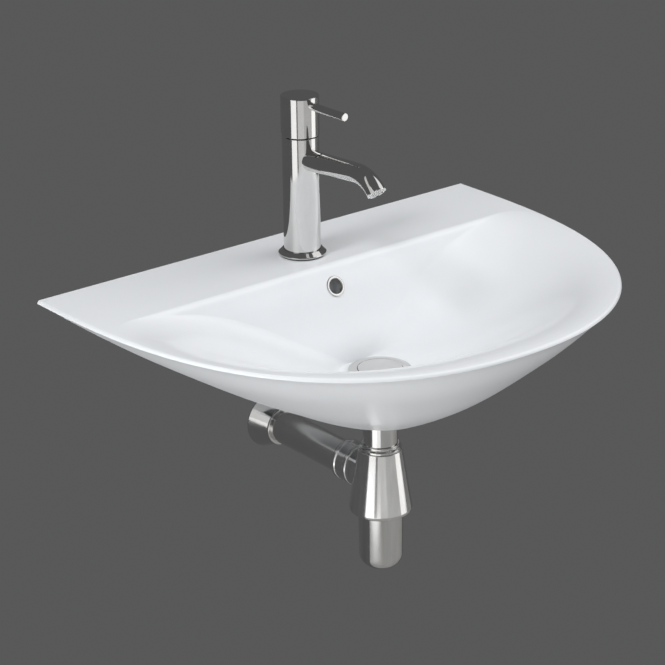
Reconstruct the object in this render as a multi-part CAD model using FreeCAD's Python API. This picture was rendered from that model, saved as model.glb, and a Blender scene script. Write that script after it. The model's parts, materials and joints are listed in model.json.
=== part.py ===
import FreeCAD, Part
import math
import os

# Wall-hung basin with its mixer tap, click waste, bottle trap and wall fixings, in millimetres.
# +X runs along the wall, -Y out from the wall and +Z up. The origin lies on the wall plane, midway
# between the two wall studs. Most pieces are drawn about their own axis with the rim at height 0,
# and are then lowered or moved to their place by at().

V = FreeCAD.Vector
UP = V(0, 0, 1)
TO_WALL = V(0, 1, 0)
TO_FRONT = V(0, -1, 0)

# Basin: outer form
BASIN_WIDTH = 550.0
BASIN_DEPTH = 400.0
BASIN_HEIGHT = 130.0
RIM_ABOVE_STUDS = 65.0
SIDE_POWER = 2.197           # how square the plan is towards the sides
FRONT_POWER = 2.83           # and towards the front
LIP_ROUND = 3.0
LIP_FLAT = 0.2
FOOT_BEFORE_WASTE = 56.0     # from the waste's axis to the front of the open foot
SKIRT_FORM = (               # share of the height, of the half width, and of the way from foot to lip
    (0.15, 0.922, 0.905),
    (0.31, 0.826, 0.780),
    (0.46, 0.722, 0.645),
    (0.615, 0.610, 0.498),
    (0.77, 0.493, 0.328),
    (0.90, 0.381, 0.152),
    (1.0, 0.300, 0.0),
)

# Basin: bowl
DECK_DEPTH = 106.0
RIM_BAND = 8.0
BOWL_DEPTH = 89.5
WASTE_FROM_WALL = 184.0
FLOOR_HALF_WIDTH = 42.0
FLOOR_HALF_DEPTH = 34.0
BOWL_SIDE_POWER = 2.2
BOWL_FRONT_POWER = 2.05
BOWL_FORM = (                # share of the depth, how much of the mouth's width, front and back is left,
    (0.0, 1.0, 1.0, 1.10, 0.11),     # and the back corners' rounding as a share of the half width
    (0.011, 0.953, 0.937, 1.027, 0.14),
    (0.039, 0.893, 0.868, 0.970, 0.18),
    (0.10, 0.811, 0.785, 0.912, 0.24),
    (0.20, 0.716, 0.698, 0.81, 0.30),
    (0.39, 0.563, 0.563, 0.64, 0.38),
    (0.615, 0.392, 0.414, 0.41, 0.46),
    (0.805, 0.239, 0.264, 0.17, 0.56),
    (0.927, 0.117, 0.132, 0.045, 0.66),
    (1.0, 0.0, 0.0, 0.0, 0.74),
)

# Basin: walls, holes and hollow underside
CHINA_WALL = 9.0
SKIRT_WALL = 15.0
DECK_THICKNESS = 16.0
BACK_PLATE = 16.0
TAP_FROM_WALL = 63.0
TAP_HOLE_R = 17.5
WASTE_HOLE_R = 23.0
WASTE_BOSS_R = 40.0
WASTE_BOSS_HEIGHT = 28.5
OVERFLOW_DROP = 20.4
OVERFLOW_TILT = 26.5
OVERFLOW_HOLE_R = 8.8
OVERFLOW_RING_WALL = 1.1
OVERFLOW_FLANGE = 1.8        # how far the ring's flange stands out round the hole
OVERFLOW_FACE = 1.6
OVERFLOW_EDGE = 0.7
OVERFLOW_GROOVE_R = 27.0
OVERFLOW_GROOVE_HEIGHT = 12.0
DUCT_WIDTH = 20.0
DUCT_DEPTH = 10.0
DUCT_WALL = 7.0

# Fits
RUNNING = 0.05               # turning and sliding pieces, and pieces fitted inside each other
APART = 0.3                  # faces of different moving bodies
THREAD = 0.1                 # room left in a plain thread
SHEET = 0.8                  # soft sealing rings that lie under a flange
PAST = 1.0                   # how far a cut runs past the face that it opens

# Wall fixings
STUD_FROM_SKIRT = 35.6       # from the skirt's inside, at the studs' height
STUD_R = 5.0
STUD_WALL_R = 5.5            # the coarser thread in the wall
STUD_SHOULDER = 2.0
STUD_IN_WALL = 60.0
STUD_IN_BASIN = 42.0
SLEEVE_R = 8.8
SLEEVE_FLANGE_R = 14.0
SLEEVE_FLANGE = 2.0
WALL_WASHER_R = 15.0
WALL_WASHER = 2.0
WALL_NUT_ACROSS = 17.0
WALL_NUT = 8.0

# Tap: body and spout, with heights above the deck
COLUMN_R = 18.75
COLUMN_TOP = 125.0
COLUMN_WALL = 3.75
COLUMN_TOP_WALL = 3.25
COLUMN_EDGE = 0.6
BASE_RING_R = 24.5
BASE_RING_HEIGHT = 7.0
BASE_RING_UNDER = 1.5        # the chamfer under its edge
BASE_RING_EDGE = 0.7
BASE_RING_ROUND = 0.6
BASE_RING_LIP = 1.6
BASE_SEAL = 1.0
BASE_SEAL_INSET = 0.8
WEB = 18.0                   # the solid floor under the cartridge
INLET_R = 5.0
INLET_DEPTH = 12.0
INLET_SPREAD = 6.5
INLET_BACK = 4.5
PORT_SPREAD = 4.0
PORT_BACK = 3.0
PASSAGE_R = 1.9
SPOUT_BELOW_TOP = 23.5
SPOUT_RISE = 3.5
SPOUT_BEND_FROM_AXIS = 86.0
SPOUT_BEND_R = 38.0
SPOUT_BEND = 51.0
SPOUT_ROOT_R = 10.9
SPOUT_TIP_R = 9.8
SPOUT_WALL = 2.8
AERATOR_WALL = 1.2           # what is left of the spout round the aerator
AERATOR_SHELL = 1.3
AERATOR_BORE = 9.0
AERATOR_LIP = 2.0
AERATOR_PLATE = 4.0
AERATOR_SET_BACK = 1.0
AERATOR_EDGE = 0.8
AERATOR_HOLE_R = 0.8
AERATOR_HOLE_PITCH = 2.4

# Tap: fixing under the deck
FIX_STUD_R = 4.0
FIX_STUD_FRONT = 9.0
FIX_BOSS_R = 7.5
FIX_BOSS_HEIGHT = 30.0
FIX_STUD_LENGTH = 70.0
HORSESHOE_R = 24.0
HORSESHOE_SLOT = 27.0
HORSESHOE_SLOT_FRONT = 3.0
FIX_GASKET = 3.0
FIX_WASHER = 2.5
FIX_NUT_ACROSS = 13.0
FIX_NUT = 8.0

# Tap: cartridge
CARTRIDGE_BELOW_TOP = 7.0
CARTRIDGE_HEIGHT = 38.0
CARTRIDGE_BASE = 6.0
CARTRIDGE_WALL = 2.2
CARTRIDGE_ROOF = 2.0
CARTRIDGE_WINDOW = 10.0
RETAINER_BELOW_TOP = 1.5
RETAINER_HEIGHT = 11.0
RETAINER_THREAD = 2.2
RETAINER_BORE_R = 10.4
RETAINER_GRIP = 4.0
RETAINER_STEP = 2.0
PORT_SEAL = 1.2
DISC = 3.4
DISC_R = 7.0
CARRIER_GAP = 1.6
TURRET_R = 9.0
TURRET_FLANGE_GAP = 0.5
TURRET_BELOW_PIVOT = 7.0
PIVOT_BELOW_CARTRIDGE_TOP = 8.0
PIVOT_PIN_R = 1.5
PIVOT_PIN_INSET = 1.0
STEM_SIDE = 7.0
STEM_SLOT = 13.4
STEM_BALL_R = 3.0
STEM_NECK_R = 2.2
BALL_ROOM = 0.2
LEVER_ARM = 10.0             # from the pivot down to the ball in the disc carrier
O_RING = 1.0

# Tap: handle
HANDLE_R = 19.4
HANDLE_GAP = 1.2
HANDLE_HEIGHT = 40.1
HANDLE_WALL = 2.8
HANDLE_HEAD = 18.3           # the solid top that holds the lever
HANDLE_EDGE = 1.2
HANDLE_FOOT_EDGE = 0.4
STEM_SOCKET_R = 8.0
STEM_SOCKET = 14.0
STEM_SOCKET_IN_HEAD = 1.0
LIFT = 18.0
LEVER_R = 4.0
LEVER_BELOW_TOP = 7.8
LEVER_REACH = 70.5
LEVER_EDGE = 0.5
LEVER_SHANK_R = 3.0
LEVER_SHANK = 10.0
GRUB_R = 2.0
GRUB_ABOVE_SOCKET = 7.0
COVER_R = 2.6
COVER_INSET = 0.4

# Waste, with depths counted from the bowl's floor
FLANGE_R = 31.5
FLANGE = 2.0
FLANGE_EDGE = 1.0
FLANGE_ROUND = 0.4
FLANGE_SLOPE = 3.5
FLANGE_CREST = 2.0
FLANGE_SEAL_INSET = 1.0
WASTE_MOUTH_R = 23.0
DISH_R = 20.4
DISH_DEPTH = 2.6
WASTE_CONE = 7.3
WASTE_SHOULDER = 8.0
WASTE_TUBE_R = 20.9
WASTE_TUBE_WALL = 2.6
WASTE_LENGTH = 47.3
SLOT_WIDTH = 8.0
SLOT_COUNT = 4
SLOT_INSET = 1.0
SPIDER_ABOVE_END = 8.0
SPIDER_HEIGHT = 13.0
SPIDER_HUB_R = 7.0
SPIDER_RIB = 2.4
SPIDER_RIBS = 3
PLUG_GAP = 0.8
PLUG_RIM = 0.2
PLUG_EDGE = 1.6
PLUG_DOME = 1.2
PLUG_NECK_R = 14.0
PLUG_NECK = 4.0
PLUG_SEAL_R = 19.2
PLUG_SEAL = 2.6
CLICK_R = 5.0
CLICK_BORE_R = 3.2
CLICK_LENGTH = 27.0
CLICK_BELOW_SPIDER = 3.0
CLICK_FLOOR = 1.5
SPRING_LENGTH = 12.0
SPRING_WIRE_R = 0.4
SPRING_ROOM = 0.3
SPRING_TURNS = 5
LOWER_SEAL = 4.0
LOWER_SEAL_R = 30.0
LOWER_SEAL_TAPER = 3.0
BACK_NUT = 7.0
BACK_NUT_R = 27.0
BACK_NUT_LUG = 2.0
BACK_NUT_LUG_WIDTH = 8.0
BACK_NUT_LUGS = 6

# Bottle trap
PIPE_R = 17.5
PIPE_WALL = 1.5
UNION_WALL = 3.6
UNION_WASHER = 2.8
UNION_LIP = 2.5
UNION_EDGE = 1.0
TUBE_COLLAR = 2.0
TUBE_DROP = 33.0             # from the waste's end to the top of the trap
INLET_NUT = 6.4
INLET_NUT_RIM = 2.4
INLET_NUT_NECK = 0.6
INLET_NUT_RIM_WALL = 1.9
INLET_NUT_STEP = 1.6
INLET_GLAND_WALL = 2.5
INLET_GLAND = 8.0
INLET_SEAL = 4.0
BELL_SHOULDER = 0.8
BELL_HEIGHT = 68.1
BELL_R = 32.4
BELL_FOOT = 4.0              # from the widest place down to the bottom
BELL_FOOT_TAPER = 0.9
BELL_ROUND = 2.5
BELL_FOOT_ROUND = 2.8
BELL_WALL = 4.0
BELL_LEDGE = 2.5
BELL_EDGE = 0.6
CUP_THREAD = 10.5
CUP_THREAD_ROOM = 0.4
CUP_R = 23.0
CUP_NECK_R = 22.9
CUP_STEP = 1.0
CUP_MOUTH = 0.4
CUP_BOTTOM_R = 22.3
CUP_DROP = 63.7
CUP_ROUND = 15.0
CUP_WALL = 2.0
CUP_SEAL_R = 0.8
CUP_SEAL_DOWN = 4.0
DIP_ABOVE_FLOOR = 19.0
OUTLET_DROP = 32.1           # from the bell's top down to the outlet's axis
SPIGOT_WALL = 1.8
SPIGOT = 12.6
PIPE_SOCKET = 13.5
OUTLET_BORE_R = 15.0
OUTLET_NUT_WALL = 2.3
OUTLET_NUT_CAP = 11.0
OUTLET_NUT_LIP = 3.0
OUTLET_NUT_GROOVE = 0.8
NUT_EDGE = 0.8               # the rounding of the chrome nuts' edges
PIPE_IN_WALL = 60.0
PIPE_END = 55.0              # the slimmer end that enters the wall's socket
PIPE_END_WALL = 1.0
ROSETTE_R = 29.5
ROSETTE_RIM = 1.2
ROSETTE_NECK_WALL = 2.3
ROSETTE_DEPTH = 25.0
ROSETTE_BEAD = 3.0
ROSETTE_BEAD_OUT = 0.8
ROSETTE_WALL = 1.6

# Places that follow from the sizes: axes, then heights above the rim
TAP_AXIS = V(0, -TAP_FROM_WALL, RIM_ABOVE_STUDS)
WASTE_AXIS = V(0, -WASTE_FROM_WALL, RIM_ABOVE_STUDS)
RIM = V(0, 0, RIM_ABOVE_STUDS)
LIP_HEIGHT = LIP_ROUND + LIP_FLAT
OVERFLOW_SEAT_R = OVERFLOW_HOLE_R + OVERFLOW_FLANGE
BOSS_BOTTOM = -BOWL_DEPTH - WASTE_BOSS_HEIGHT
GROOVE_MIDDLE = -BOWL_DEPTH - WASTE_BOSS_HEIGHT / 2
CORE_R = COLUMN_R - COLUMN_WALL
CARTRIDGE_TOP = COLUMN_TOP - CARTRIDGE_BELOW_TOP
SEAT = CARTRIDGE_TOP - CARTRIDGE_HEIGHT
CORE_TOP = SEAT - WEB
DISC_LOW = SEAT + CARTRIDGE_BASE
PIVOT = CARTRIDGE_TOP - PIVOT_BELOW_CARTRIDGE_TOP
TURRET_BOTTOM = PIVOT - TURRET_BELOW_PIVOT
RETAINER_TOP = COLUMN_TOP - RETAINER_BELOW_TOP
RETAINER_BOTTOM = RETAINER_TOP - RETAINER_HEIGHT
RETAINER_R = COLUMN_R - COLUMN_TOP_WALL
CARTRIDGE_R = RETAINER_R - RETAINER_THREAD
CARTRIDGE_INNER_R = CARTRIDGE_R - CARTRIDGE_WALL
ROOF_LOW = RETAINER_BOTTOM - CARTRIDGE_ROOF
HANDLE_LOW = COLUMN_TOP + HANDLE_GAP
HANDLE_TOP = HANDLE_LOW + HANDLE_HEIGHT
HANDLE_CEILING = HANDLE_TOP - HANDLE_HEAD
STEM_SOCKET_LOW = HANDLE_CEILING - STEM_SOCKET + STEM_SOCKET_IN_HEAD
STEM_TOP = STEM_SOCKET_LOW + STEM_SOCKET
LEVER_HEIGHT = HANDLE_TOP - LEVER_BELOW_TOP
GRUB_HEIGHT = STEM_SOCKET_LOW + GRUB_ABOVE_SOCKET
AERATOR_R = SPOUT_TIP_R - AERATOR_WALL
FLANGE_LOW = -BOWL_DEPTH + SHEET
FLANGE_TOP = FLANGE_LOW + FLANGE
PLUG_LOW = FLANGE_TOP - PLUG_EDGE
PLUG_R = WASTE_MOUTH_R - PLUG_GAP
WASTE_INNER_R = WASTE_TUBE_R - WASTE_TUBE_WALL
TAIL_END = FLANGE_TOP - WASTE_LENGTH
SPIDER_LOW = TAIL_END + SPIDER_ABOVE_END
SPIDER_TOP = SPIDER_LOW + SPIDER_HEIGHT
CLICK_LOW = SPIDER_LOW - CLICK_BELOW_SPIDER
PLUNGER_LOW = CLICK_LOW + CLICK_FLOOR + SPRING_LENGTH
BACK_NUT_TOP = BOSS_BOTTOM - LOWER_SEAL
UNION_TOP = BACK_NUT_TOP - BACK_NUT - APART
COLLAR_TOP = TAIL_END - UNION_WASHER
COLLAR_LOW = COLLAR_TOP - TUBE_COLLAR
UNION_LOW = COLLAR_LOW - UNION_LIP
TRAP_TOP = TAIL_END - TUBE_DROP
BELL_TOP = TRAP_TOP - INLET_NUT
BELL_LOW = BELL_TOP - BELL_HEIGHT
GLAND_R = PIPE_R + INLET_GLAND_WALL
GLAND_LOW = BELL_TOP - INLET_GLAND
GLAND_SEAL_LOW = GLAND_LOW - INLET_SEAL
CHAMBER_TOP = GLAND_SEAL_LOW - BELL_LEDGE
INLET_NUT_R = GLAND_R + INLET_NUT_STEP
BELL_TOP_R = INLET_NUT_R + BELL_SHOULDER
CUP_LEDGE = BELL_LOW + CUP_THREAD
CHAMBER_LOW = CUP_LEDGE + BELL_LEDGE
CUP_LOW = BELL_LOW - CUP_DROP
CUP_SCREW_R = CUP_NECK_R + CUP_THREAD_ROOM
CUP_INNER_R = CUP_NECK_R - CUP_WALL
DIP_END = CUP_LOW + DIP_ABOVE_FLOOR
OUTLET = BELL_TOP - OUTLET_DROP
SPIGOT_R = PIPE_R + SPIGOT_WALL
OUTLET_NUT_R = SPIGOT_R + OUTLET_NUT_WALL
OUTLET_WAIST_R = OUTLET_NUT_R - OUTLET_NUT_GROOVE
BELL_TAPER = (BELL_R - BELL_TOP_R) / (BELL_HEIGHT - BELL_FOOT)
SPIGOT_FOOT = BELL_TOP_R + BELL_TAPER * (OUTLET_DROP + OUTLET_NUT_R) + APART
SPIGOT_END = SPIGOT_FOOT + SPIGOT
OUTLET_NUT_END = SPIGOT_END + OUTLET_NUT_CAP
PIPE_START = SPIGOT_END - PIPE_SOCKET


def at(shape, place, direction=UP):
    """A copy of a piece drawn about the Z axis, with its origin at place and its axis along direction."""
    moved = shape.copy()
    moved.Placement = FreeCAD.Placement(place, FreeCAD.Rotation(UP, direction)).multiply(moved.Placement)
    return moved


def cylinder(radius, low, high, x=0.0, y=0.0):
    return Part.makeCylinder(radius, high - low, V(x, y, low))


def tube(outer, inner, low, high):
    return cylinder(outer, low, high).cut(cylinder(inner, low, high))


def block(x0, x1, y0, y1, z0, z1):
    return Part.makeBox(x1 - x0, y1 - y0, z1 - z0, V(x0, y0, z0))


def hexagon(across, low, high):
    radius = across / math.sqrt(3)
    angles = [k * math.pi / 3 for k in range(7)]
    corners = [V(radius * math.cos(a), radius * math.sin(a), low) for a in angles]
    return Part.Face(Part.makePolygon(corners)).extrude(V(0, 0, high - low))


def rounded_wire(corners):
    """A closed wire in the XZ plane through (x, z) or (x, z, radius) corners, rounded by tangent arcs."""
    ends = []
    count = len(corners)
    for k, corner in enumerate(corners):
        here = V(corner[0], 0, corner[1])
        radius = corner[2] if len(corner) > 2 else 0
        if not radius:
            ends.append((here, None, here))
            continue
        before = V(corners[k - 1][0], 0, corners[k - 1][1])
        after = V(corners[(k + 1) % count][0], 0, corners[(k + 1) % count][1])
        back = (before - here).normalize()
        forth = (after - here).normalize()
        half = back.getAngle(forth) / 2
        reach = radius / math.tan(half)
        middle = here + (back + forth).normalize() * (radius / math.sin(half) - radius)
        ends.append((here + back * reach, middle, here + forth * reach))
    edges = []
    for k, (start, middle, end) in enumerate(ends):
        if middle is not None:
            edges.append(Part.Arc(start, middle, end).toShape())
        following = ends[(k + 1) % count][0]
        if (following - end).Length > 1e-6:
            edges.append(Part.makeLine(end, following))
    return Part.Wire(edges)


def turned(corners):
    """A solid of revolution about the Z axis from a profile of (radius, z) corners."""
    return Part.Face(rounded_wire(corners)).revolve(V(0, 0, 0), UP, 360)


def ring_of(section_r, ring_r, height):
    """An O-ring."""
    return Part.makeTorus(ring_r, section_r, V(0, 0, height))


def front_curve(half_width, back, front, below, side_power, front_power):
    """The superelliptic front of a D-shaped section, at a depth below the rim."""
    steps = 8
    points = []
    shares = []
    for k in range(-steps, steps + 1):
        share = abs(k) / steps
        angle = math.pi / 2 * (1 - share ** (side_power / 2)) ** (front_power / 2)
        x = math.copysign(half_width * math.cos(angle) ** (2 / side_power), k) if k else 0.0
        y = -back - (front - back) * math.sin(angle) ** (2 / front_power)
        points.append(V(x, y, -below))
        shares.append(k / steps)
    curve = Part.BSplineCurve()
    curve.interpolate(Points=points, Parameters=shares)
    return curve.toShape()


def outer_wire(half_width, depth, below):
    """A section of the basin's outside, run a little past the wall plane, where it is cut off square."""
    curve = front_curve(half_width, 0.0, depth, below, SIDE_POWER, FRONT_POWER)
    corners = [V(half_width, 0, -below), V(half_width, PAST, -below),
               V(-half_width, PAST, -below), V(-half_width, 0, -below)]
    return Part.Wire([curve] + [Part.makeLine(a, b) for a, b in zip(corners, corners[1:])])


def bowl_wire(half_width, back, front, below, corner):
    """A section of the bowl: straight at the back, with rounded back corners."""
    curve = front_curve(half_width, back + corner, front, below, BOWL_SIDE_POWER, BOWL_FRONT_POWER)
    straight = half_width - corner
    middle = corner * (1 - math.sqrt(0.5))
    right = Part.Arc(V(half_width, -back - corner, -below), V(half_width - middle, -back - middle, -below),
                     V(straight, -back, -below)).toShape()
    line = Part.makeLine(V(straight, -back, -below), V(-straight, -back, -below))
    left = Part.Arc(V(-straight, -back, -below), V(middle - half_width, -back - middle, -below),
                    V(-half_width, -back - corner, -below)).toShape()
    return Part.Wire([curve, right, line, left])


def skirt(inset):
    """The basin's outer form from the lip to the open foot, drawn in by inset."""
    half = BASIN_WIDTH / 2
    foot = WASTE_FROM_WALL + FOOT_BEFORE_WASTE
    wires = [outer_wire(half - inset, BASIN_DEPTH - inset, LIP_HEIGHT)]
    for height, width, front in SKIRT_FORM:
        depth = foot + (BASIN_DEPTH - foot) * front
        wires.append(outer_wire(half * width - inset, depth - inset, BASIN_HEIGHT * height))
    return Part.makeLoft(wires, True)


def stud_place(side):
    """Where a wall stud crosses the wall plane, clear of the skirt at its height."""
    stud_level = RIM_ABOVE_STUDS / BASIN_HEIGHT
    for (h0, w0, _), (h1, w1, _) in zip(SKIRT_FORM, SKIRT_FORM[1:]):
        if h0 <= stud_level <= h1:
            width = w0 + (w1 - w0) * (stud_level - h0) / (h1 - h0)
    return V(side * (BASIN_WIDTH / 2 * width - SKIRT_WALL - STUD_FROM_SKIRT), 0, 0)


def rim_slab():
    """The rim's rounded edge, a thin slab with the plan's outline."""
    outline = Part.Face(outer_wire(BASIN_WIDTH / 2, BASIN_DEPTH, LIP_HEIGHT))
    slab = outline.extrude(V(0, 0, LIP_HEIGHT))
    edge = [e for e in slab.Edges if e.BoundBox.ZMin > -1e-3 and e.BoundBox.YLength > 2 * PAST]
    return slab.makeFillet(LIP_ROUND, edge)


def bowl_back(share):
    """How far the bowl's back wall stands from the wall where this share of the mouth is left."""
    floor_back = WASTE_FROM_WALL - FLOOR_HALF_DEPTH
    return floor_back + (DECK_DEPTH - floor_back) * share


def bowl(grow):
    """The bowl's hollow, or with grow the solid that its china wall fills too."""
    floor_front = WASTE_FROM_WALL + FLOOR_HALF_DEPTH
    mouth_front = BASIN_DEPTH - RIM_BAND
    at_deck = 1 - (DECK_DEPTH / BASIN_DEPTH) ** FRONT_POWER
    mouth_half = BASIN_WIDTH / 2 * at_deck ** (1 / SIDE_POWER) - RIM_BAND
    wires = []
    for depth, width, front, back, corner in BOWL_FORM:
        half_width = FLOOR_HALF_WIDTH + (mouth_half - FLOOR_HALF_WIDTH) * width
        wires.append(bowl_wire(
            half_width + grow,
            bowl_back(back) - grow,
            floor_front + (mouth_front - floor_front) * front + grow,
            BOWL_DEPTH * depth + grow,
            half_width * corner + grow))
    return Part.makeLoft(wires, True)


def overflow_place():
    """Where the overflow's axis meets the bowl's back wall, and the way that it looks out."""
    rows = [(BOWL_DEPTH * row[0], bowl_back(row[3])) for row in BOWL_FORM]
    for (d0, b0), (d1, b1) in zip(rows, rows[1:]):
        if d0 <= OVERFLOW_DROP <= d1:
            back = b0 + (b1 - b0) * (OVERFLOW_DROP - d0) / (d1 - d0)
    tilt = math.radians(OVERFLOW_TILT)
    return V(0, -back, -OVERFLOW_DROP), V(0, -math.cos(tilt), math.sin(tilt))


def band(points, half, width):
    """A straight-sided channel that follows a line of (y, z) points, half thick each way, width across X."""
    sides = []
    for sign in (1, -1):
        side = []
        for k, (y, z) in enumerate(points):
            before = points[max(k - 1, 0)]
            after = points[min(k + 1, len(points) - 1)]
            along = V(0, after[0] - before[0], after[1] - before[1]).normalize()
            side.append(V(-width / 2, y, z) + V(0, -along.z, along.y) * half * sign)
        sides.append(side)
    loop = sides[0] + sides[1][::-1]
    return Part.Face(Part.makePolygon(loop + loop[:1])).extrude(V(width, 0, 0))


def duct_line():
    """The overflow duct's middle line, behind the bowl from the overflow down to the waste hole."""
    mouth, out = overflow_place()
    half = DUCT_DEPTH / 2
    top = mouth - out * (CHINA_WALL + half)
    return [
        (top.y, top.z + half),
        (-bowl_back(0) + CHINA_WALL + DUCT_DEPTH, GROOVE_MIDDLE),
        (-WASTE_FROM_WALL + WASTE_HOLE_R, GROOVE_MIDDLE),
    ]


def basin_body():
    """One casting: deck, bowl, skirt and back plate round a hollow that is open below."""
    half = BASIN_WIDTH / 2
    mouth, out = overflow_place()
    line = duct_line()
    body = skirt(0).fuse(rim_slab()).cut(block(-half, half, 0, 2 * PAST, -BASIN_HEIGHT, 0))
    hollow = skirt(SKIRT_WALL).common(
        block(-half, half, -BASIN_DEPTH, -BACK_PLATE, -BASIN_HEIGHT, -DECK_THICKNESS))
    duct_wall = DUCT_DEPTH / 2 + DUCT_WALL
    for solid in (bowl(CHINA_WALL),
                  cylinder(WASTE_BOSS_R, BOSS_BOTTOM, -BOWL_DEPTH, 0, -WASTE_FROM_WALL),
                  band(line, duct_wall, DUCT_WIDTH + 2 * DUCT_WALL)):
        hollow = hollow.cut(solid)
    body = body.cut(hollow).cut(bowl(0))
    groove = OVERFLOW_GROOVE_HEIGHT / 2
    cutters = [
        cylinder(WASTE_HOLE_R, BOSS_BOTTOM - PAST, -BOWL_DEPTH + PAST, 0, -WASTE_FROM_WALL),
        cylinder(OVERFLOW_GROOVE_R, GROOVE_MIDDLE - groove, GROOVE_MIDDLE + groove, 0, -WASTE_FROM_WALL),
        cylinder(TAP_HOLE_R, -DECK_THICKNESS - PAST, PAST, 0, -TAP_FROM_WALL),
        at(cylinder(OVERFLOW_HOLE_R, -CHINA_WALL - DUCT_DEPTH / 2, CHINA_WALL), mouth, out),
        at(cylinder(OVERFLOW_SEAT_R, -SHEET, CHINA_WALL), mouth, out),
        band(line, DUCT_DEPTH / 2, DUCT_WIDTH),
    ]
    for side in (-1, 1):
        hole = cylinder(SLEEVE_R + THREAD, -BACK_PLATE - PAST, PAST)
        cutters.append(at(hole, stud_place(side) - RIM, TO_WALL))
    for cutter in cutters:
        body = body.cut(cutter)
    return at(body, RIM)


def overflow_ring():
    mouth, out = overflow_place()
    inner = OVERFLOW_HOLE_R - OVERFLOW_RING_WALL
    neck = OVERFLOW_HOLE_R - RUNNING
    flange = OVERFLOW_SEAT_R - THREAD
    face = OVERFLOW_FACE - SHEET
    ring = turned([
        (inner, -CHINA_WALL), (neck, -CHINA_WALL), (neck, -SHEET), (flange, -SHEET),
        (flange, face, OVERFLOW_EDGE), (inner, face, OVERFLOW_EDGE)])
    return at(ring, mouth + RIM, out)


def wall_pair(piece):
    """The same piece on both wall studs, drawn along Z with the wall plane at height 0."""
    return Part.makeCompound([at(piece, stud_place(side), TO_WALL) for side in (-1, 1)])


def wall_fixings():
    washer_face = -BACK_PLATE - SLEEVE_FLANGE
    nut_face = washer_face - WALL_WASHER
    nut_end = nut_face - WALL_NUT
    sleeve = turned([
        (STUD_R + THREAD, 0), (SLEEVE_R, 0), (SLEEVE_R, -BACK_PLATE), (SLEEVE_FLANGE_R, -BACK_PLATE),
        (SLEEVE_FLANGE_R, washer_face), (STUD_R + THREAD, washer_face)])
    nut = hexagon(WALL_NUT_ACROSS, nut_end, nut_face).cut(cylinder(STUD_R + RUNNING, nut_end, nut_face))
    stud = cylinder(STUD_R, -STUD_IN_BASIN, STUD_SHOULDER).fuse(
        cylinder(STUD_WALL_R, STUD_SHOULDER, STUD_IN_WALL))
    return {
        "wall_studs": wall_pair(stud),
        "wall_sleeves": wall_pair(sleeve),
        "wall_washers": wall_pair(tube(WALL_WASHER_R, STUD_R + THREAD, nut_face, washer_face)),
        "wall_nuts": wall_pair(nut),
    }


def spout_axis():
    """The spout's straight direction, where its bend starts, the bend's centre, its end and the way out."""
    rise = math.radians(SPOUT_RISE)
    along = V(0, -math.cos(rise), math.sin(rise))
    down = V(0, -math.sin(rise), -math.cos(rise))
    root = V(0, 0, COLUMN_TOP - SPOUT_BELOW_TOP)
    bend = root + along * (SPOUT_BEND_FROM_AXIS / math.cos(rise))
    centre = bend + down * SPOUT_BEND_R
    turn = math.radians(SPOUT_BEND)
    end = centre - down * SPOUT_BEND_R * math.cos(turn) + along * SPOUT_BEND_R * math.sin(turn)
    way_out = along * math.cos(turn) + down * math.sin(turn)
    return root, along, bend, centre, end, way_out


def spout(root_r, tip_r):
    """A tapered tube's solid along the spout: a long cone, then a bend."""
    root, along, bend, centre, end, way_out = spout_axis()
    length = (bend - root).Length
    straight = at(turned([(0, 0), (root_r, 0), (tip_r, length), (0, length)]), root, along)
    section = Part.Face(Part.Wire(Part.makeCircle(tip_r, bend, along)))
    return straight.fuse(section.revolve(centre, V(1, 0, 0), SPOUT_BEND))


def tap_body():
    root, along, bend, centre, end, way_out = spout_axis()
    column = turned([
        (0, BASE_SEAL), (COLUMN_R, BASE_SEAL), (COLUMN_R, COLUMN_TOP, COLUMN_EDGE), (0, COLUMN_TOP)])
    body = column.fuse(spout(SPOUT_ROOT_R, SPOUT_TIP_R))
    boss = cylinder(FIX_BOSS_R, BASE_SEAL, FIX_BOSS_HEIGHT, 0, -FIX_STUD_FRONT)
    boss = boss.fuse(block(-FIX_BOSS_R, FIX_BOSS_R, -COLUMN_R, -FIX_STUD_FRONT, BASE_SEAL, FIX_BOSS_HEIGHT))
    bore = spout(SPOUT_ROOT_R - SPOUT_WALL, SPOUT_TIP_R - SPOUT_WALL)
    cutters = [
        cylinder(CORE_R, BASE_SEAL, CORE_TOP).cut(boss),
        cylinder(FIX_STUD_R + RUNNING, BASE_SEAL, FIX_BOSS_HEIGHT, 0, -FIX_STUD_FRONT),
        cylinder(CARTRIDGE_R + RUNNING, SEAT, COLUMN_TOP),
        cylinder(RETAINER_R + RUNNING, RETAINER_BOTTOM - APART, COLUMN_TOP),
        bore.cut(cylinder(CARTRIDGE_R, 0, COLUMN_TOP)),
        at(cylinder(AERATOR_R, -AERATOR_BORE, PAST), end, way_out),
    ]
    for side in (-1, 1):
        cutters.append(cylinder(INLET_R, CORE_TOP, CORE_TOP + INLET_DEPTH, side * INLET_SPREAD, INLET_BACK))
        cutters.append(cylinder(PASSAGE_R, CORE_TOP + INLET_DEPTH, SEAT, side * PORT_SPREAD, PORT_BACK))
    for cutter in cutters:
        body = body.cut(cutter)
    return at(body, TAP_AXIS)


def tap_base():
    bore = COLUMN_R + RUNNING
    foot_r = BASE_RING_R - BASE_RING_UNDER
    edge_low = BASE_SEAL + BASE_RING_UNDER
    ring = turned([
        (bore, BASE_SEAL), (foot_r, BASE_SEAL), (BASE_RING_R, edge_low),
        (BASE_RING_R, edge_low + BASE_RING_EDGE, BASE_RING_ROUND),
        (COLUMN_R + BASE_RING_LIP, BASE_RING_HEIGHT, BASE_RING_ROUND), (bore, BASE_RING_HEIGHT)])
    return {
        "tap_base_ring": at(ring, TAP_AXIS),
        "tap_base_seal": at(tube(foot_r - BASE_SEAL_INSET, CORE_R + APART, 0, BASE_SEAL), TAP_AXIS),
    }


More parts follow.
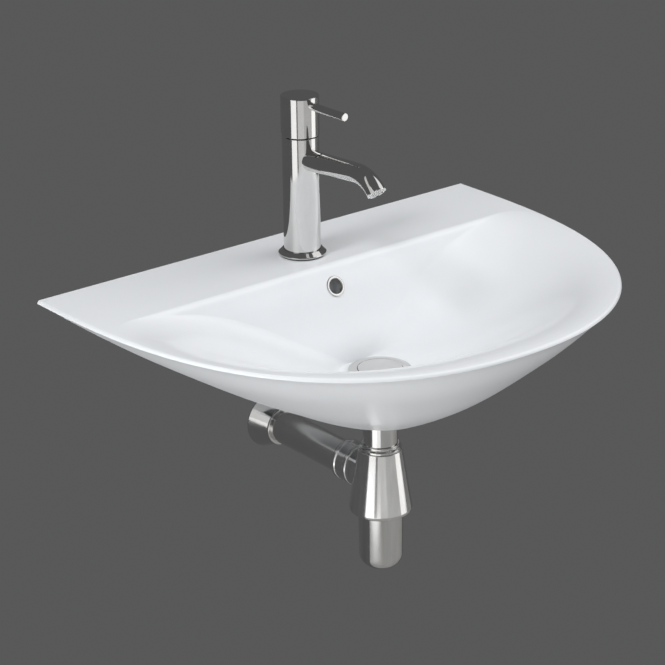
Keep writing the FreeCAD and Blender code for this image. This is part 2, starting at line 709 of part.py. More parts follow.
def horseshoe(low, high):
    """A clamping plate round the supply tails, open to the back, with a hole for the fixing stud."""
    plate = cylinder(HORSESHOE_R, low, high)
    slot = block(-HORSESHOE_SLOT / 2, HORSESHOE_SLOT / 2, -HORSESHOE_SLOT_FRONT, HORSESHOE_R, low, high)
    hole = cylinder(FIX_STUD_R + THREAD, low, high, 0, -FIX_STUD_FRONT)
    return at(plate.cut(slot).cut(hole), TAP_AXIS)


def tap_fixing():
    gasket = -DECK_THICKNESS - FIX_GASKET
    washer = gasket - FIX_WASHER
    nut_low = washer - FIX_NUT
    place = TAP_AXIS + V(0, -FIX_STUD_FRONT, 0)
    nut = hexagon(FIX_NUT_ACROSS, nut_low, washer).cut(cylinder(FIX_STUD_R + RUNNING, nut_low, washer))
    stud = cylinder(FIX_STUD_R, FIX_BOSS_HEIGHT - FIX_STUD_LENGTH, FIX_BOSS_HEIGHT)
    return {
        "tap_fixing_stud": at(stud, place),
        "tap_fixing_gasket": horseshoe(gasket, -DECK_THICKNESS),
        "tap_fixing_washer": horseshoe(washer, gasket),
        "tap_fixing_nut": at(nut, place),
    }


def aerator():
    """Lipped shell, honeycomb plate and sealing ring in the spout's end."""
    root, along, bend, centre, end, way_out = spout_axis()
    outer = AERATOR_R - RUNNING
    inner = AERATOR_R - AERATOR_SHELL
    deep = AERATOR_BORE - SHEET
    shell = turned([
        (inner, -deep), (outer, -deep), (outer, 0), (SPOUT_TIP_R, 0),
        (SPOUT_TIP_R, AERATOR_LIP, AERATOR_EDGE), (inner, AERATOR_LIP)])
    face = AERATOR_LIP - AERATOR_SET_BACK
    plate = cylinder(inner - RUNNING, face - AERATOR_PLATE, face)
    for row in range(-2, 3):
        for k in range(5 - abs(row)):
            x = (k - (4 - abs(row)) / 2) * AERATOR_HOLE_PITCH
            y = row * AERATOR_HOLE_PITCH * math.sqrt(3) / 2
            plate = plate.cut(cylinder(AERATOR_HOLE_R, face - AERATOR_PLATE, face, x, y))
    place = TAP_AXIS + end
    return {
        "aerator_shell": at(shell, place, way_out),
        "aerator_plate": at(plate, place, way_out),
        "aerator_seal": at(tube(outer, inner, -AERATOR_BORE, -deep), place, way_out),
    }


def cartridge():
    """The mixing cartridge's still pieces: base, port seals, fixed disc, housing, ring and retainer."""
    base = cylinder(CARTRIDGE_R, SEAT, DISC_LOW)
    disc = cylinder(CARTRIDGE_INNER_R - RUNNING, DISC_LOW, DISC_LOW + DISC)
    seal_r = PASSAGE_R + PORT_SEAL
    seals = []
    for side in (-1, 1):
        port = cylinder(PASSAGE_R, SEAT, DISC_LOW + DISC, side * PORT_SPREAD, PORT_BACK)
        recess = cylinder(seal_r, SEAT, SEAT + PORT_SEAL, side * PORT_SPREAD, PORT_BACK)
        base = base.cut(port).cut(recess)
        disc = disc.cut(port)
        ring = tube(seal_r - RUNNING, PASSAGE_R, SEAT, SEAT + PORT_SEAL)
        seals.append(at(ring, TAP_AXIS + V(side * PORT_SPREAD, PORT_BACK, 0)))
    groove = CARTRIDGE_R - 2 * O_RING
    ring_z = RETAINER_BOTTOM - APART - 3 * O_RING
    neck = RETAINER_BORE_R - THREAD
    housing = turned([
        (CARTRIDGE_INNER_R, DISC_LOW), (CARTRIDGE_R, DISC_LOW), (CARTRIDGE_R, ring_z - O_RING),
        (groove, ring_z - O_RING), (groove, ring_z + O_RING), (CARTRIDGE_R, ring_z + O_RING),
        (CARTRIDGE_R, RETAINER_BOTTOM), (neck, RETAINER_BOTTOM), (neck, CARTRIDGE_TOP),
        (TURRET_R + RUNNING, CARTRIDGE_TOP), (TURRET_R + RUNNING, ROOF_LOW), (CARTRIDGE_INNER_R, ROOF_LOW)])
    window_half = CARTRIDGE_WINDOW / 2
    window = block(-window_half, window_half, -CARTRIDGE_R, 0, DISC_LOW + DISC, ring_z - 3 * O_RING)
    grip = RETAINER_TOP - RETAINER_GRIP
    grip_r = RETAINER_R - RETAINER_STEP
    retainer = turned([
        (RETAINER_BORE_R, RETAINER_BOTTOM), (RETAINER_R, RETAINER_BOTTOM), (RETAINER_R, grip), (grip_r, grip),
        (grip_r, RETAINER_TOP), (RETAINER_BORE_R, RETAINER_TOP)])
    return {
        "cartridge_base": at(base, TAP_AXIS),
        "cartridge_port_seals": Part.makeCompound(seals),
        "cartridge_fixed_disc": at(disc, TAP_AXIS),
        "cartridge_housing": at(housing.cut(window), TAP_AXIS),
        "cartridge_ring": at(ring_of(O_RING - RUNNING, CARTRIDGE_R - O_RING, ring_z), TAP_AXIS),
        "cartridge_retainer": at(retainer, TAP_AXIS),
    }


def across(radius, length):
    """A pin along X through the handle's pivot."""
    return at(cylinder(radius, -length / 2, length / 2), V(0, 0, PIVOT), V(1, 0, 0))


def cartridge_movement():
    """What moves in the cartridge: turret, pivot pin, stem with its ball, disc carrier and sliding disc."""
    flange_r = CARTRIDGE_INNER_R - TURRET_FLANGE_GAP
    turret = turned([
        (0, TURRET_BOTTOM), (flange_r, TURRET_BOTTOM), (flange_r, ROOF_LOW - APART),
        (TURRET_R, ROOF_LOW - APART), (TURRET_R, CARTRIDGE_TOP), (0, CARTRIDGE_TOP)])
    side = STEM_SIDE / 2
    slot_half = STEM_SLOT / 2
    slot = block(-side - RUNNING, side + RUNNING, -slot_half, slot_half, TURRET_BOTTOM, CARTRIDGE_TOP)
    pin_length = 2 * (TURRET_R - PIVOT_PIN_INSET)
    pin_hole = across(PIVOT_PIN_R + RUNNING, pin_length)
    ball = PIVOT - LEVER_ARM
    stem = block(-side, side, -side, side, PIVOT - side, STEM_TOP).fuse(cylinder(STEM_NECK_R, ball, PIVOT))
    stem = stem.fuse(Part.makeSphere(STEM_BALL_R, V(0, 0, ball)))
    disc_low = DISC_LOW + DISC + RUNNING
    carrier_low = disc_low + DISC
    carrier_top = TURRET_BOTTOM - CARRIER_GAP
    pocket = cylinder(STEM_BALL_R + BALL_ROOM, ball - STEM_BALL_R - APART, carrier_top)
    return {
        "cartridge_turret": at(turret.cut(slot).cut(pin_hole), TAP_AXIS),
        "cartridge_pivot_pin": at(across(PIVOT_PIN_R, pin_length), TAP_AXIS),
        "cartridge_stem": at(stem.cut(pin_hole), TAP_AXIS),
        "cartridge_disc_carrier": at(cylinder(DISC_R, carrier_low, carrier_top).cut(pocket), TAP_AXIS),
        "cartridge_sliding_disc": at(cylinder(DISC_R, disc_low, carrier_low), TAP_AXIS),
    }


def level(radius, near, far, height, direction):
    """A level pin from near to far of the tap's axis."""
    return at(cylinder(radius, near, far), V(0, 0, height), direction)


def handle():
    """The handle's cap, lever, grub screw and screw cover."""
    cavity_r = HANDLE_R - HANDLE_WALL
    cap = turned([
        (cavity_r, HANDLE_LOW), (HANDLE_R, HANDLE_LOW, HANDLE_FOOT_EDGE), (HANDLE_R, HANDLE_TOP, HANDLE_EDGE),
        (0, HANDLE_TOP), (0, STEM_SOCKET_LOW), (STEM_SOCKET_R, STEM_SOCKET_LOW),
        (STEM_SOCKET_R, HANDLE_CEILING), (cavity_r, HANDLE_CEILING)])
    side = STEM_SIDE / 2 + RUNNING
    # The column's top, turned back by the full lift, is what the cap's back edge has to clear.
    wide = 2 * HANDLE_R
    relief = block(-wide, wide, -wide, wide, PIVOT - HANDLE_R, COLUMN_TOP + APART)
    relief.rotate(V(0, 0, PIVOT), V(1, 0, 0), LIFT)
    seat = math.sqrt(HANDLE_R ** 2 - LEVER_R ** 2)
    shank = seat - LEVER_SHANK
    cutters = [
        block(-side, side, -side, side, STEM_SOCKET_LOW, STEM_TOP + RUNNING),
        relief,
        level(LEVER_SHANK_R + RUNNING, shank - RUNNING, HANDLE_R, LEVER_HEIGHT, TO_FRONT),
        level(GRUB_R + RUNNING, 0, STEM_SOCKET_R, GRUB_HEIGHT, TO_WALL),
        level(COVER_R, STEM_SOCKET_R, HANDLE_R + PAST, GRUB_HEIGHT, TO_WALL),
    ]
    for cutter in cutters:
        cap = cap.cut(cutter)
    lever = turned([
        (0, shank), (LEVER_SHANK_R, shank), (LEVER_SHANK_R, HANDLE_R), (0, HANDLE_R)])
    rod = turned([(0, seat), (LEVER_R, seat), (LEVER_R, LEVER_REACH, LEVER_EDGE), (0, LEVER_REACH)])
    lever_place = V(0, 0, LEVER_HEIGHT)
    rod = at(rod, lever_place, TO_FRONT).cut(cylinder(HANDLE_R, HANDLE_LOW, HANDLE_TOP))
    cover = level(COVER_R - RUNNING, cavity_r, HANDLE_R - COVER_INSET, GRUB_HEIGHT, TO_WALL)
    return {
        "handle_cap": at(cap, TAP_AXIS),
        "handle_lever": at(at(lever, lever_place, TO_FRONT).fuse(rod), TAP_AXIS),
        "handle_grub_screw": at(level(GRUB_R, side, STEM_SOCKET_R, GRUB_HEIGHT, TO_WALL), TAP_AXIS),
        "handle_screw_cover": at(cover, TAP_AXIS),
    }


def turn(shape, degrees):
    """A copy turned about the Z axis."""
    turned_shape = shape.copy()
    turned_shape.rotate(V(0, 0, 0), UP, degrees)
    return turned_shape


def waste_body():
    """Flange, slotted tube and the spider that carries the click mechanism."""
    shoulder = FLANGE_LOW - WASTE_SHOULDER
    shoulder_r = WASTE_HOLE_R - APART
    body = turned([
        (WASTE_INNER_R, TAIL_END), (WASTE_TUBE_R, TAIL_END), (WASTE_TUBE_R, shoulder), (shoulder_r, shoulder),
        (shoulder_r, FLANGE_LOW), (FLANGE_R, FLANGE_LOW), (FLANGE_R, FLANGE_LOW + FLANGE_EDGE, FLANGE_ROUND),
        (WASTE_MOUTH_R + FLANGE_SLOPE, FLANGE_TOP, FLANGE_CREST), (WASTE_MOUTH_R, FLANGE_TOP, FLANGE_ROUND),
        (DISH_R, FLANGE_TOP - DISH_DEPTH), (WASTE_INNER_R, FLANGE_TOP - WASTE_CONE)])
    reach = OVERFLOW_GROOVE_HEIGHT / 2 - SLOT_INSET
    half = SLOT_WIDTH / 2
    slot = block(0, WASTE_TUBE_R + PAST, -half, half, GROOVE_MIDDLE - reach, GROOVE_MIDDLE + reach)
    for k in range(SLOT_COUNT):
        body = body.cut(turn(slot, (k + 0.5) * 360 / SLOT_COUNT))
    spider = cylinder(SPIDER_HUB_R, SPIDER_LOW, SPIDER_TOP)
    middle = (WASTE_INNER_R + WASTE_TUBE_R) / 2
    rib = block(0, middle, -SPIDER_RIB / 2, SPIDER_RIB / 2, SPIDER_LOW, SPIDER_TOP)
    for k in range(SPIDER_RIBS):
        spider = spider.fuse(turn(rib, (k + 0.25) * 360 / SPIDER_RIBS))
    bore = cylinder(CLICK_R + RUNNING, SPIDER_LOW, SPIDER_TOP)
    return at(body.fuse(spider.cut(bore)), WASTE_AXIS)


def spring(low, high, radius):
    """A compression spring."""
    rise = high - low - 2 * SPRING_WIRE_R
    path = Part.makeHelix(rise / SPRING_TURNS, rise, radius)
    section = Part.Wire(Part.makeCircle(SPRING_WIRE_R, V(radius, 0, 0), V(0, 1, 0)))
    coil = Part.Wire(path.Edges).makePipeShell([section], True, True)
    return at(coil, V(0, 0, low + SPRING_WIRE_R))


def click_plug():
    """The plug with its seal and plunger, and the click mechanism's housing and spring."""
    neck_low = PLUG_LOW - PLUG_NECK
    low_r = PLUG_R - (WASTE_MOUTH_R - DISH_R) * PLUG_EDGE / DISH_DEPTH
    crown = FLANGE_TOP + PLUG_DOME
    rise = PLUG_DOME - PLUG_RIM
    dome_r = (PLUG_R ** 2 + rise ** 2) / (2 * rise)
    cap = turned([
        (0, neck_low), (PLUG_NECK_R, neck_low), (PLUG_NECK_R, PLUG_LOW), (low_r, PLUG_LOW),
        (PLUG_R, FLANGE_TOP), (PLUG_R, crown), (0, crown)])
    cap = cap.common(Part.makeSphere(dome_r, V(0, 0, crown - dome_r)))
    plunger_r = CLICK_BORE_R - RUNNING
    plunger_top = neck_low + PLUG_NECK / 2
    floor = CLICK_LOW + CLICK_FLOOR
    housing = turned([
        (0, CLICK_LOW), (CLICK_R, CLICK_LOW), (CLICK_R, CLICK_LOW + CLICK_LENGTH),
        (CLICK_BORE_R, CLICK_LOW + CLICK_LENGTH), (CLICK_BORE_R, floor), (0, floor)])
    coil = spring(floor, PLUNGER_LOW, CLICK_BORE_R - SPRING_WIRE_R - SPRING_ROOM)
    return {
        "plug_cap": at(cap.cut(cylinder(plunger_r, neck_low, plunger_top)), WASTE_AXIS),
        "plug_seal": at(tube(PLUG_SEAL_R, PLUG_NECK_R + RUNNING, PLUG_LOW - PLUG_SEAL, PLUG_LOW), WASTE_AXIS),
        "plug_plunger": at(cylinder(plunger_r, PLUNGER_LOW, plunger_top), WASTE_AXIS),
        "click_housing": at(housing, WASTE_AXIS),
        "click_spring": at(coil, WASTE_AXIS),
    }


def waste_fixing():
    """What clamps the waste to the basin: the seals above and below, and the lugged back nut."""
    nut_low = BACK_NUT_TOP - BACK_NUT
    bore = WASTE_TUBE_R + RUNNING
    nut = tube(BACK_NUT_R - BACK_NUT_LUG, bore, nut_low, BACK_NUT_TOP)
    half = BACK_NUT_LUG_WIDTH / 2
    lug = block(BACK_NUT_R - 2 * BACK_NUT_LUG, BACK_NUT_R, -half, half, nut_low, BACK_NUT_TOP)
    for k in range(BACK_NUT_LUGS):
        nut = nut.fuse(turn(lug, k * 360 / BACK_NUT_LUGS))
    lower = turned([
        (bore, BACK_NUT_TOP), (LOWER_SEAL_R - LOWER_SEAL_TAPER, BACK_NUT_TOP), (LOWER_SEAL_R, BOSS_BOTTOM),
        (bore, BOSS_BOTTOM)])
    upper = tube(FLANGE_R - FLANGE_SEAL_INSET, WASTE_HOLE_R + APART, -BOWL_DEPTH, FLANGE_LOW)
    return {
        "waste_flange_seal": at(upper, WASTE_AXIS),
        "waste_lower_seal": at(lower, WASTE_AXIS),
        "waste_back_nut": at(nut, WASTE_AXIS),
    }


def trap_inlet():
    """The dip tube with its union under the waste, and the gland nut and seal at the top of the trap."""
    inner = PIPE_R - PIPE_WALL
    collar_r = WASTE_TUBE_R - APART
    bore = PIPE_R + THREAD
    dip = turned([
        (inner, DIP_END), (PIPE_R, DIP_END), (PIPE_R, COLLAR_LOW), (collar_r, COLLAR_LOW),
        (collar_r, COLLAR_TOP), (inner, COLLAR_TOP)])
    union_r = WASTE_TUBE_R + UNION_WALL
    screw_r = WASTE_TUBE_R + RUNNING
    union = turned([
        (bore, UNION_LOW), (union_r, UNION_LOW, UNION_EDGE), (union_r, UNION_TOP, UNION_EDGE),
        (screw_r, UNION_TOP), (screw_r, COLLAR_LOW), (bore, COLLAR_LOW)])
    rim_r = PIPE_R + INLET_NUT_RIM_WALL
    rim_low = TRAP_TOP - INLET_NUT_RIM
    gland_r = GLAND_R - RUNNING
    nut = turned([
        (bore, GLAND_LOW), (gland_r, GLAND_LOW), (gland_r, BELL_TOP), (INLET_NUT_R, BELL_TOP, INLET_NUT_NECK),
        (INLET_NUT_R, rim_low - INLET_NUT_STEP, NUT_EDGE), (rim_r - INLET_NUT_NECK, rim_low),
        (rim_r, rim_low + INLET_NUT_NECK), (rim_r, TRAP_TOP, NUT_EDGE), (bore, TRAP_TOP)])
    return {
        "trap_dip_tube": at(dip, WASTE_AXIS),
        "trap_union_nut": at(union, WASTE_AXIS),
        "trap_union_washer": at(tube(collar_r, inner, COLLAR_TOP, TAIL_END), WASTE_AXIS),
        "trap_inlet_nut": at(nut, WASTE_AXIS),
        "trap_inlet_seal": at(tube(gland_r, PIPE_R + RUNNING, GLAND_SEAL_LOW, GLAND_LOW), WASTE_AXIS),
    }


def outlet(corners):
    """A turned piece on the trap's outlet axis: heights run from the trap's axis towards the wall."""
    return at(turned(corners), WASTE_AXIS + V(0, 0, OUTLET), TO_WALL)


def bell_inner_r(height):
    return BELL_TOP_R + BELL_TAPER * (BELL_TOP - height) - BELL_WALL


def trap_body():
    """The bell: gland seat above, outlet spigot to the wall, thread for the cup below."""
    lining = [
        (bell_inner_r(CHAMBER_LOW), CHAMBER_LOW), (bell_inner_r(CHAMBER_TOP), CHAMBER_TOP),
        (PIPE_R + APART, CHAMBER_TOP), (PIPE_R + APART, GLAND_SEAL_LOW), (GLAND_R, GLAND_SEAL_LOW),
        (GLAND_R, BELL_TOP)]
    shell = turned([
        (BELL_TOP_R, BELL_TOP, BELL_EDGE), (BELL_R, BELL_LOW + BELL_FOOT, BELL_ROUND),
        (BELL_R - BELL_FOOT_TAPER, BELL_LOW, BELL_FOOT_ROUND), (CUP_SCREW_R, BELL_LOW),
        (CUP_SCREW_R, CUP_LEDGE), (CUP_INNER_R, CUP_LEDGE), (CUP_INNER_R, CHAMBER_LOW)] + lining)
    inside = turned([(0, CHAMBER_LOW)] + lining + [(0, BELL_TOP)])
    spigot = outlet([
        (0, 0), (OUTLET_WAIST_R, 0), (OUTLET_WAIST_R, SPIGOT_FOOT), (SPIGOT_R, SPIGOT_FOOT),
        (SPIGOT_R, SPIGOT_END), (0, SPIGOT_END)])
    socket_r = PIPE_R + RUNNING
    bore = outlet([
        (0, PIPE_R), (OUTLET_BORE_R, PIPE_R), (OUTLET_BORE_R, PIPE_START), (socket_r, PIPE_START),
        (socket_r, SPIGOT_END), (0, SPIGOT_END)])
    return at(shell, WASTE_AXIS).fuse(spigot.cut(at(inside, WASTE_AXIS))).cut(bore)


def trap_outlet():
    """Outlet nut, its seal, the pipe to the wall and the rosette over the hole in the wall."""
    low = SPIGOT_FOOT + APART
    lip = OUTLET_NUT_END - OUTLET_NUT_LIP
    bore = PIPE_R + THREAD
    nut = outlet([
        (SPIGOT_R + RUNNING, low), (OUTLET_WAIST_R, low), (OUTLET_WAIST_R, lip - OUTLET_NUT_GROOVE),
        (OUTLET_NUT_R, lip, NUT_EDGE), (OUTLET_NUT_R, OUTLET_NUT_END, NUT_EDGE), (bore, OUTLET_NUT_END),
        (bore, lip), (SPIGOT_R + RUNNING, lip)])
    seal = outlet([
        (PIPE_R + RUNNING, SPIGOT_END), (SPIGOT_R, SPIGOT_END), (SPIGOT_R, lip), (PIPE_R + RUNNING, lip)])
    inner = PIPE_R - PIPE_WALL
    end = WASTE_FROM_WALL + PIPE_IN_WALL
    end_r = inner + PIPE_END_WALL
    pipe = outlet([
        (inner, PIPE_START), (PIPE_R, PIPE_START), (PIPE_R, end - PIPE_END), (end_r, end - PIPE_END),
        (end_r, end), (inner, end)])
    wall = WASTE_FROM_WALL
    front = wall - ROSETTE_DEPTH
    neck = front + ROSETTE_BEAD
    neck_r = PIPE_R + ROSETTE_NECK_WALL
    bead_r = neck_r + ROSETTE_BEAD_OUT
    inner_neck = neck + ROSETTE_RIM
    rosette = outlet([
        (bore, front), (bead_r, front, NUT_EDGE), (bead_r, neck, NUT_EDGE), (neck_r, neck),
        (ROSETTE_R, wall - ROSETTE_RIM), (ROSETTE_R, wall), (ROSETTE_R - ROSETTE_WALL, wall),
        (neck_r - ROSETTE_BEAD_OUT, inner_neck), (bore, inner_neck)])
    return {
        "trap_outlet_nut": nut,
        "trap_outlet_seal": seal,
        "trap_outlet_pipe": pipe,
        "wall_rosette": rosette,
    }


def trap_cup():
    """The cup that unscrews for cleaning, with the sealing ring round its neck."""
    top = CUP_LEDGE - APART
    ring_z = top - CUP_SEAL_DOWN
    groove_low = ring_z - CUP_SEAL_R - APART
    groove_top = ring_z + CUP_SEAL_R + APART
    groove_r = CUP_SCREW_R - 2 * CUP_SEAL_R - THREAD
    cup = turned([
        (0, CUP_LOW), (CUP_BOTTOM_R, CUP_LOW, CUP_ROUND), (CUP_R, BELL_LOW - 2 * CUP_STEP),
        (CUP_NECK_R, BELL_LOW - CUP_STEP), (CUP_NECK_R, groove_low), (groove_r, groove_low),
        (groove_r, groove_top), (CUP_NECK_R, groove_top), (CUP_NECK_R, top), (CUP_INNER_R - CUP_MOUTH, top),
        (CUP_BOTTOM_R - CUP_WALL, CUP_LOW + CUP_WALL, CUP_ROUND - CUP_WALL), (0, CUP_LOW + CUP_WALL)])
    ring = ring_of(CUP_SEAL_R - RUNNING, CUP_SCREW_R - CUP_SEAL_R - RUNNING, ring_z)
    return {"trap_cup": at(cup, WASTE_AXIS), "trap_cup_seal": at(ring, WASTE_AXIS)}


def all_pieces():
    pieces = {
        "basin_body": basin_body(),
        "overflow_ring": overflow_ring(),
        "tap_body": tap_body(),
        "waste_body": waste_body(),
        "trap_body": trap_body(),
    }
    for group in (wall_fixings, tap_base, tap_fixing, aerator, cartridge, cartridge_movement, handle,
                  click_plug, waste_fixing, trap_inlet, trap_outlet, trap_cup):
        pieces.update(group())
    return pieces


os.makedirs("parts", exist_ok=True)
for name, shape in all_pieces().items():
    shape.exportStep(f"parts/{name}.step")
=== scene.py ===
# %% [markdown]
# A wall-hung basin with its lever tap, click waste and bottle trap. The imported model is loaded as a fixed
# frame, and nearly all its pieces keep their shape: they are cast, turned and moulded there already. What
# they get here is a finish made of nodes. Two small chrome pieces are turned again with more detail: the
# aerator's ring with its key slots, and the trap's outlet nut with its two beads.

# %% Load the frame
import json
import math
import bmesh
import bpy
from mathutils import Matrix, Vector


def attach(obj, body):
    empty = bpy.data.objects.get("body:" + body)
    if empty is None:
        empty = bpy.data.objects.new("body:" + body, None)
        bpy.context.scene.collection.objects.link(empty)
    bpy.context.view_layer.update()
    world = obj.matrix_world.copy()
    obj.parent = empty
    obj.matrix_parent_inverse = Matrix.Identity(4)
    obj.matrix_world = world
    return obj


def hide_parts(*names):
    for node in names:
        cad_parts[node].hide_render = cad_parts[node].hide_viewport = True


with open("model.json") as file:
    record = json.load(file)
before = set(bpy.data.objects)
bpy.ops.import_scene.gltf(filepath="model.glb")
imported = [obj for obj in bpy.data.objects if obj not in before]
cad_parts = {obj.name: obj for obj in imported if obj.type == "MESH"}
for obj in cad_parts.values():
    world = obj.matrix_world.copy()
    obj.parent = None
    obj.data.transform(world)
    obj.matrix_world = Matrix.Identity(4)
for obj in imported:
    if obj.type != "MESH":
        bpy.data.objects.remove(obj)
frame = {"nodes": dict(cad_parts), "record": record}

MM = 0.001
scene = bpy.context.scene
scene.view_settings.view_transform = "Standard"
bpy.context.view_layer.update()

# %% [markdown]
# The camera comes first, because it says which surfaces matter most. It stands to the left of the basin and
# looks down on it through a long lens, so upright edges stay nearly parallel.

# %% The camera
CAMERA_PLACE = Vector((-1.2721, -1.6946, 0.8159))
CAMERA_YAW = math.radians(38.7517)
CAMERA_PITCH = math.radians(22.0467)
CAMERA_ROLL = math.radians(-0.7895)
CAMERA_LENS = 117.54
SENSOR = 36.0


def camera_axes(yaw, pitch, roll):
    """The camera's right, up and back directions."""
    look = Vector((math.sin(yaw) * math.cos(pitch), math.cos(yaw) * math.cos(pitch), -math.sin(pitch)))
    level = Vector((math.cos(yaw), -math.sin(yaw), 0))
    upright = level.cross(look)
    right = math.cos(roll) * level + math.sin(roll) * upright
    up = -math.sin(roll) * level + math.cos(roll) * upright
    return right, up, -look


camera_data = bpy.data.cameras.new("camera")
camera_data.lens = CAMERA_LENS
camera_data.sensor_fit = "HORIZONTAL"
camera_data.sensor_width = SENSOR
camera = bpy.data.objects.new("camera", camera_data)
scene.collection.objects.link(camera)
camera.matrix_world = Matrix.Translation(CAMERA_PLACE) @ Matrix(
    camera_axes(CAMERA_YAW, CAMERA_PITCH, CAMERA_ROLL)).transposed().to_4x4()
scene.camera = camera
print("camera", [round(v, 3) for v in CAMERA_PLACE], "lens", CAMERA_LENS)

# %% [markdown]
# Shader maths reads best as Python, so one small class wraps a socket. An expression on two of them adds a
# Math node, and node() adds any other node with its settings first and its inputs after.

# %% Shader expressions


class Value:
    """A socket in a node tree that takes part in Python expressions."""

    def __init__(self, tree, socket):
        self.tree = tree
        self.socket = socket

    def _math(self, operation, *others):
        return node(self.tree, "ShaderNodeMath", {"operation": operation},
                    dict(enumerate((self, *others))))

    def __add__(self, other):
        return self._math("ADD", other)

    def __radd__(self, other):
        return self._math("ADD", other)

    def __sub__(self, other):
        return self._math("SUBTRACT", other)

    def __rsub__(self, other):
        return node(self.tree, "ShaderNodeMath", {"operation": "SUBTRACT"}, {0: other, 1: self})

    def __mul__(self, other):
        return self._math("MULTIPLY", other)

    def __rmul__(self, other):
        return self._math("MULTIPLY", other)


def node(tree, kind, settings=None, inputs=None, output=0):
    """A new node of one kind, with its settings first and then its inputs; gives one of its outputs."""
    made = tree.nodes.new(kind)
    for name, setting in (settings or {}).items():
        setattr(made, name, setting)
    for name, value in (inputs or {}).items():
        if isinstance(value, Value):
            tree.links.new(value.socket, made.inputs[name])
        else:
            made.inputs[name].default_value = value
    return Value(tree, made.outputs[output])


def feed(tree, value, socket):
    tree.links.new(value.socket, socket)


print("a Value takes part in +, - and *")

# %% [markdown]
# Every finish starts from the same few steps: a new material, a place on the piece in its own coordinates, a
# noise there, a colour between two, and a fine relief. Stretching the coordinates draws the noise out into
# lines: up and down, or along the pipe to the wall.

# %% Steps of a finish
EVEN = (1.0, 1.0, 1.0)
UPRIGHT = (1.0, 1.0, 0.04)
LEVEL = (1.0, 0.04, 1.0)
COLOUR_A, COLOUR_B, COLOUR_RESULT = 6, 7, 2    # the Mix node's sockets when it mixes colours
FINISHES = {}


def finish_of(name):
    """A new material with its Principled shader; gives the material, its tree and the shader's inputs."""
    material = bpy.data.materials.new(name)
    material.use_nodes = True
    tree = material.node_tree
    return material, tree, tree.nodes["Principled BSDF"].inputs


def object_place(tree, stretch=EVEN):
    """Object coordinates, stretched."""
    coordinates = node(tree, "ShaderNodeTexCoord", output="Object")
    return node(tree, "ShaderNodeMapping", inputs={"Vector": coordinates, "Scale": stretch})


def noise(tree, place, scale, detail=2.0, roughness=0.5):
    return node(tree, "ShaderNodeTexNoise", inputs={
        "Vector": place, "Scale": scale, "Detail": detail, "Roughness": roughness})


def tint(tree, factor, first, second):
    """A colour between two."""
    return node(tree, "ShaderNodeMix", {"data_type": "RGBA"},
                {"Factor": factor, COLOUR_A: (*first, 1), COLOUR_B: (*second, 1)}, output=COLOUR_RESULT)


def bump(tree, height, strength, distance):
    return node(tree, "ShaderNodeBump", inputs={
        "Height": height, "Strength": strength, "Distance": distance})


print("polishing lines", {"even": EVEN, "upright": UPRIGHT, "level": LEVEL})

# %% [markdown]
# Fired glaze is a milky white under a clear, very smooth skin. The skin isn't quite flat: it carries a broad
# ripple from the glaze running in the kiln, so a reflection wavers a little. The white itself pools slightly.
# A plain white would do for the colour, but without the skin's coat the bowl would look like paper.

# %% China glaze
GLAZE_THIN = (0.836, 0.857, 0.884)
GLAZE_POOLED = (0.856, 0.875, 0.899)
GLAZE_ROUGHNESS, GLAZE_UNEVEN = 0.30, 0.08
GLAZE_SKIN = {"Coat Weight": 0.55, "Coat Roughness": 0.16, "Coat IOR": 1.5, "Specular IOR Level": 0.35}


def china_glaze():
    material, tree, inputs = finish_of("china_glaze")
    place = object_place(tree)
    pooling = noise(tree, place, scale=9.0, detail=3.0)
    feed(tree, tint(tree, pooling, GLAZE_THIN, GLAZE_POOLED), inputs["Base Color"])
    feed(tree, GLAZE_ROUGHNESS + GLAZE_UNEVEN * noise(tree, place, scale=40.0), inputs["Roughness"])
    ripple = noise(tree, place, scale=26.0, detail=1.0)
    feed(tree, bump(tree, ripple, strength=0.10, distance=0.0006), inputs["Normal"])
    for socket, setting in GLAZE_SKIN.items():
        inputs[socket].default_value = setting
    return material


FINISHES["china"] = china_glaze()
print("china:", FINISHES["china"].name)

# %% [markdown]
# Chrome plate is a thin bright layer over polished brass. Polishing leaves hair-fine lines round a turned
# piece, and dried water leaves faint spots, so the roughness changes a little over the surface. The tap is
# polished evenly. The trap's lines run up and down, and the softer lines of the pipe run along it.

# %% Chrome plate
CHROME_DULL = (0.66, 0.645, 0.62)
CHROME_BRIGHT = (0.84, 0.84, 0.84)
POLISHED, SPOT_ROUGHNESS, SPOT_SHADE = 0.045, 0.03, 0.4
MIDDLE = 0.5
CHROMES = {    # material, stretch of the lines, how far they roughen, how far they darken
    "chrome": ("chrome_plate", EVEN, 0.03, 0.4),
    "trap_chrome": ("trap_chrome_plate", UPRIGHT, 0.12, 2.4),
    "pipe_chrome": ("pipe_chrome_plate", LEVEL, 0.30, 1.2),
}


def chrome_plate(name, stretch, lines, streaks):
    """Polished chrome; stretch draws out the polishing lines, lines roughens and streaks darkens them."""
    material, tree, inputs = finish_of(name)
    polish = noise(tree, object_place(tree, stretch), scale=90.0, detail=4.0, roughness=0.6)
    spots = noise(tree, object_place(tree), scale=34.0, detail=5.0, roughness=0.65)
    feed(tree, POLISHED + lines * polish + SPOT_ROUGHNESS * spots, inputs["Roughness"])
    shade = MIDDLE + streaks * (polish - MIDDLE) + SPOT_SHADE * (spots - MIDDLE)
    feed(tree, tint(tree, shade, CHROME_DULL, CHROME_BRIGHT), inputs["Base Color"])
    feed(tree, bump(tree, polish, strength=0.04, distance=0.0001), inputs["Normal"])
    inputs["Metallic"].default_value = 1.0
    return material


for slot, settings in CHROMES.items():
    FINISHES[slot] = chrome_plate(*settings)
    print(slot + ":", FINISHES[slot].name)

# %% [markdown]
# What is hidden in use is plainer: zinc-plated steel, turned brass, moulded plastic, lapped ceramic discs and
# soft rubber. They show from below and behind, and when the part is taken apart. One speckle varies the
# colour, the gloss and the relief of each, because none has a pattern that would show.

